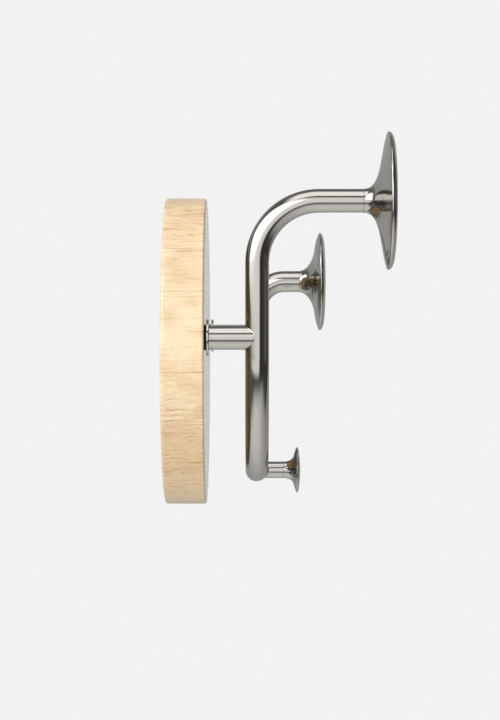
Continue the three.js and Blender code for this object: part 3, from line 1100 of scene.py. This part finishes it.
@dataclass
class Studio:
    """Pale backdrop and floor, soft light from large panels with dark gaps between them, and the camera.

    Light that reaches the metal by way of a second surface is dimmed to the echo's share.
    """

    backdrop: str = "#f2f2f2"
    light: tuple = (1.0, 1.0, 0.99, 1.0)
    dim: float = 0.045
    echo: float = 0.5
    camera_place: tuple = (-1.3916, -0.0592, 0.0226)
    lens: float = 98.0
    sensor: float = 36.0
    shift: float = -0.0569
    clip: tuple = (0.05, 50.0)
    floor_depth: float = -0.9
    floor_half: float = 30.0
    aim: tuple = (0.0, -0.06, 0.0)
    panels: tuple = (
        Softbox("ceiling", 0.17, ((DOWN, -98, 8), (ROOM, 60, 12))),
        Softbox("back", 0.38, ((FAR, -140, 14), (ROOM, 50, 9))),
        Softbox("backdrop", 1.02, ((FAR, -166, 5), (ROOM, 4, 3), (WALL, 1, 2))),
        Softbox("wall_side", 0.1, ((UP, -20, 8), (ROOM, -34, 10))),
        Softbox("glimmer", 0.11, ((ROOM, 81, 5), (WALL, -66, 6), (DOWN, 24, 8))),
        Softbox("room", 0.22, ((WALL, -85, 3),)),
        Softbox("floor", 0.33, ((UP, -31.5, 10), (NEAR, 168, 3), (ROOM, 62, 8), *FLOOR_SIDES)),
        Softbox("glow", 0.85, ((UP, -41, 15), (DOWN, 124, 52), (ROOM, 36, 43), ((0.33, -1, 0), 17, 16))),
        Softbox("main", 1.03, ((UP, 28, 10), (DOWN, 20.5, 5), ((-0.2, 1, 0), 22, 6.5), (WALL, 58, 20))),
        Softbox("crease", 0.12, ((UP, -1.8, 2), (DOWN, 7, 7), (ROOM, -30, 36))),
        Softbox("top", 1.36, ((UP, 94, 9), (DOWN, -45, 5), (WALL, 23, 7.5), (ROOM, 16, 9))),
        Softbox("key", 2.7, ((UP, 108, 14), (DOWN, -4, 6), (ROOM, -3, 3), *KEY_SIDES)),
    )
    fills: tuple = (
        FillLamp("camera_fill", (-2.0, 0.6, -0.45), 1.2, 16.5),
        FillLamp("rim_fill", (1.2, 0.6, 2.1), 1.2, 46.0),
        FillLamp("low_fill", (1.5, 0.6, -2.1), 0.8, 15.0),
        FillLamp("face_fill", (0.1, -1.7, 0.45), 0.3, 60.0, cone=9.0),
    )

    def build_world(self) -> None:
        """Lays each patch of the surroundings over the ones before it.

        A direction (x, y, z) has the roll atan2(z, -x) and the side asin(-y). The camera sees plain paper.
        """
        world = bpy.data.worlds.new("studio")
        bpy.context.scene.world = world
        world.use_nodes = True
        tree = world.node_tree
        tree.nodes.clear()
        ray = add(tree, "SeparateXYZ", {"Vector": add(tree, "TexCoord")["Generated"]})
        back, room = (add(tree, "Math", {0: ray[a], 1: -1.0}, operation="MULTIPLY")[0] for a in "XY")
        roll = add(tree, "Math", {0: ray["Z"], 1: back}, operation="ARCTAN2")[0]
        side = add(tree, "Math", {0: room}, operation="ARCSINE")[0]
        roll, side = (add(tree, "Math", {0: a}, operation="DEGREES")[0] for a in (roll, side))
        size = add(tree, "Math", {0: roll}, operation="ABSOLUTE")[0]
        direction = add(tree, "CombineXYZ", {"X": roll, "Y": side, "Z": size})[0]
        light = self.dim
        for panel in self.panels:
            mask = 1.0
            for weights, limit, soft in panel.edges:
                reach = add(tree, "VectorMath", {0: direction, 1: weights}, operation="DOT_PRODUCT")
                fade = {"Value": reach["Value"], "From Min": limit + soft, "From Max": limit - soft}
                inside = add(tree, "MapRange", fade, interpolation_type="SMOOTHSTEP")[0]
                mask = add(tree, "Math", {0: mask, 1: inside}, operation="MULTIPLY")[0]
            light = add(tree, "Mix", {0: mask, 2: light, 3: panel.brightness}, data_type="FLOAT")[0]
        path = add(tree, "LightPath")
        bounces = {0: path["Glossy Depth"], 1: path["Is Glossy Ray"]}
        again = add(tree, "Math", bounces, operation="SUBTRACT")[0]
        share = add(tree, "MapRange", {"Value": again, "To Min": 1.0, "To Max": self.echo})[0]
        light = add(tree, "Math", {0: light, 1: share}, operation="MULTIPLY")[0]
        surroundings = add(tree, "Background", {"Color": self.light, "Strength": light})[0]
        paper = add(tree, "Background", {"Color": linear(self.backdrop)})[0]
        both = add(tree, "MixShader", {0: path["Is Camera Ray"], 1: surroundings, 2: paper})[0]
        add(tree, "OutputWorld", {"Surface": both})

    def build_floor(self) -> None:
        """Lays a pale floor well below the hook, evenly in the backdrop's tone and kept out of its light."""
        half, z = self.floor_half, self.floor_depth
        mesh = bpy.data.meshes.new("floor")
        corners = [(-half, -half, z), (half, -half, z), (half, half, z), (-half, half, z)]
        mesh.from_pydata(corners, [], [(0, 1, 2, 3)])
        floor = linked("floor", mesh)
        material = new_material("pale_floor_paper")
        tree = material.node_tree
        paper = add(tree, "Emission", {"Color": linear(self.backdrop)})[0]
        add(tree, "OutputMaterial", {"Surface": paper})
        mesh.materials.append(material)
        floor.visible_glossy = False
        floor.visible_diffuse = False
        floor.visible_shadow = False

    def build_lamp(self, fill: FillLamp) -> None:
        """Hangs one fill lamp, aimed at the hook.

        Args:
            fill: the lamp.
        """
        data = bpy.data.lights.new(fill.name, "SPOT" if fill.cone else "AREA")
        if fill.cone:
            data.spot_size = math.radians(fill.cone)
            data.spot_blend = 1.0
            data.shadow_soft_size = fill.size / 2
        else:
            data.shape = "DISK"
            data.size = fill.size
        data.energy = fill.watts
        lamp = linked(fill.name, data)
        lamp.location = fill.place
        lamp.rotation_euler = (Vector(self.aim) - Vector(fill.place)).to_track_quat("-Z", "Y").to_euler()
        lamp.visible_glossy = False
        lamp.visible_camera = False

    def build_camera(self) -> None:
        """Sets the camera at the photograph's place, level and looking along +X."""
        data = bpy.data.cameras.new("camera")
        data.lens = self.lens
        data.sensor_width = self.sensor
        data.shift_y = self.shift
        data.clip_start, data.clip_end = self.clip
        camera = linked("camera", data)
        camera.location = self.camera_place
        camera.rotation_euler = (QUARTER, 0, -QUARTER)
        bpy.context.scene.camera = camera

    def build(self) -> None:
        """Sets up the surroundings, floor, camera and lamps."""
        self.build_world()
        self.build_floor()
        self.build_camera()
        for fill in self.fills:
            self.build_lamp(fill)
        bpy.context.scene.view_settings.view_transform = "Standard"


LARGE_FLARE = ((0, 0), (5.24, 0), (11.67, 2.67), (11.32, 22.48), (15.85, 37.56))
MEDIUM_FLARE = ((0, 0), (9.55, 0), (13.97, 18.51), (9.48, 15.17), (14.66, 28.0))
SMALL_FLARE = ((0, 0), (3.77, 0), (8.22, 2.07), (5.9, 2.5), (9.05, 9.88))
KNOBS = (
    TrumpetKnob("large", -84.4, 101.5, 134.9, 8.05, 46.15, 19.95, 0.05, 6.0, LARGE_FLARE, 3.3, 9.3),
    TrumpetKnob("medium", 84.4, 50.8, 96.1, 8.05, 36.65, 19.85, 1.0, 10.0, MEDIUM_FLARE, 3.3, 9.3),
    TrumpetKnob("small", 0, -84.4, 82.9, 5.9, 16.1, 12.0, 1.0, 4.0, SMALL_FLARE, 2.3, 7.3),
)
FIXINGS = (
    HiddenFixing("large_tube_plug", -84.4, 101.5, 122.6, 12.0, 5.9, 3.3),
    HiddenFixing("large_knob_stud", -84.4, 101.5, 123.9, 20.0, 3.0),
    HiddenFixing("medium_tube_plug", 84.4, 50.8, 83.8, 12.0, 5.9, 3.3),
    HiddenFixing("medium_knob_stud", 84.4, 50.8, 85.1, 20.0, 3.0),
    HiddenFixing("small_knob_stud", 0, -84.4, 75.9, 14.0, 2.0),
)


def main() -> None:
    """Builds every sub-assembly in order, then the studio."""
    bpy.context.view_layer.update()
    WoodBase().build()
    BentTube().build()
    for side in Side:
        Standoff(side).build()
        KeyholeHanger(side).build()
    for knob in KNOBS:
        knob.build()
    SmallHookRod().build()
    for fixing in FIXINGS:
        fixing.build()
    Studio().build()


if __name__ == "__main__":
    logging.basicConfig(level=logging.INFO, format="%(name)s %(message)s")
    main()
